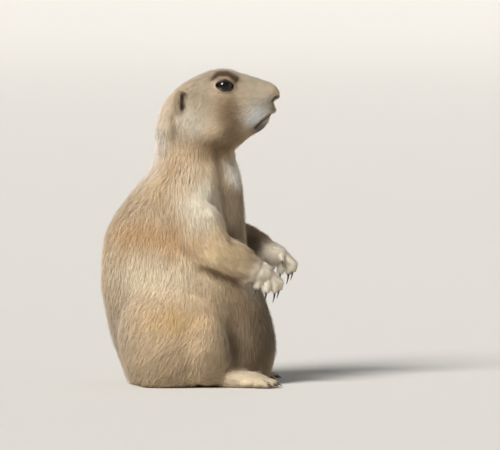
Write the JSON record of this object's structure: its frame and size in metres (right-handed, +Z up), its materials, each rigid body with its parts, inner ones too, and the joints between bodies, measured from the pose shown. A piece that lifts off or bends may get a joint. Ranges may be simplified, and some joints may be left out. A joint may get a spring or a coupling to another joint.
{
  "type": "prairie dog",
  "caption": "Life-size still model of a prairie dog sitting upright on its haunches with its forepaws hanging in front of the belly.",
  "frame": {"origin": "middle of the part's box in plan, on the floor that it sits on", "axes": "+X to the animal's front, +Y to its left, +Z up"},
  "size_m": [0.1456, 0.121, 0.2329],
  "materials": {
    "body_fur": "short dense buff fur with fine streaks",
    "paw_fur": "very short pale fur",
    "nose_skin": "dark bare skin",
    "claw": "dark horn with a low sheen",
    "eye": "wet and glossy"
  },
  "bodies": {
    "root": {"head": "body_fur", "neck": "body_fur", "chest": "body_fur", "abdomen": "body_fur", "tail": "body_fur", "tail_tip": "body_fur", "nose": "nose_skin", "right_eye": "eye", "right_ear": "body_fur", "right_upper_arm": "body_fur", "right_forearm": "body_fur", "right_hand": "paw_fur", "right_haunch": "body_fur", "right_foot": "paw_fur", "right_finger_claw_1": "claw", "right_finger_claw_2": "claw", "right_finger_claw_3": "claw", "right_finger_claw_4": "claw", "right_finger_claw_5": "claw", "right_toe_claw_1": "claw", "right_toe_claw_2": "claw", "right_toe_claw_3": "claw", "right_toe_claw_4": "claw", "right_toe_claw_5": "claw", "left_eye": "eye", "left_ear": "body_fur", "left_upper_arm": "body_fur", "left_forearm": "body_fur", "left_hand": "paw_fur", "left_haunch": "body_fur", "left_foot": "paw_fur", "left_finger_claw_1": "claw", "left_finger_claw_2": "claw", "left_finger_claw_3": "claw", "left_finger_claw_4": "claw", "left_finger_claw_5": "claw", "left_toe_claw_1": "claw", "left_toe_claw_2": "claw", "left_toe_claw_3": "claw", "left_toe_claw_4": "claw", "left_toe_claw_5": "claw"}
  },
  "joints": []
}
